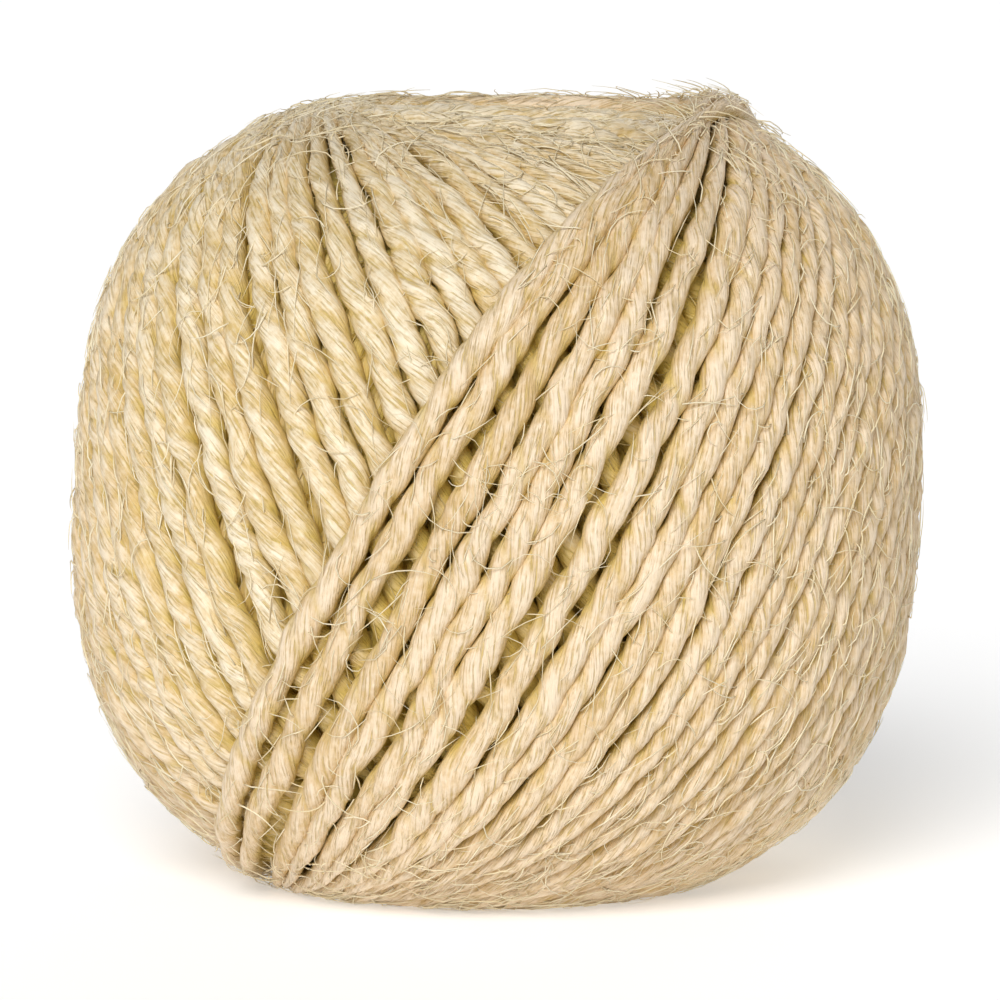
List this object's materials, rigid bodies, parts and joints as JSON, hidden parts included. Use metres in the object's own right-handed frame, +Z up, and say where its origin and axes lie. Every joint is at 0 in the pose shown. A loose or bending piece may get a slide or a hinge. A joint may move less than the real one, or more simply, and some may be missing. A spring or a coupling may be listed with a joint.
{
  "type": "ball of string",
  "caption": "Ball of natural two-ply sisal twine, cross-wound into a squarish barrel with a diagonal last turn and a shallow hollow at each hub.",
  "frame": {"origin": "centre of the ball's footprint, on the surface that it stands on", "axes": "+Z up, close to the axis that the twine is wound about; -Y towards the side where the last turn shows as a diagonal edge; +X to the right of that side"},
  "size_m": [0.0806, 0.0824, 0.074],
  "materials": {
    "sisal_twine": "dry natural sisal fibre, pale straw, slightly silky on the plies and hairy"
  },
  "bodies": {
    "root": {"twine_ball": "sisal_twine"}
  },
  "joints": []
}
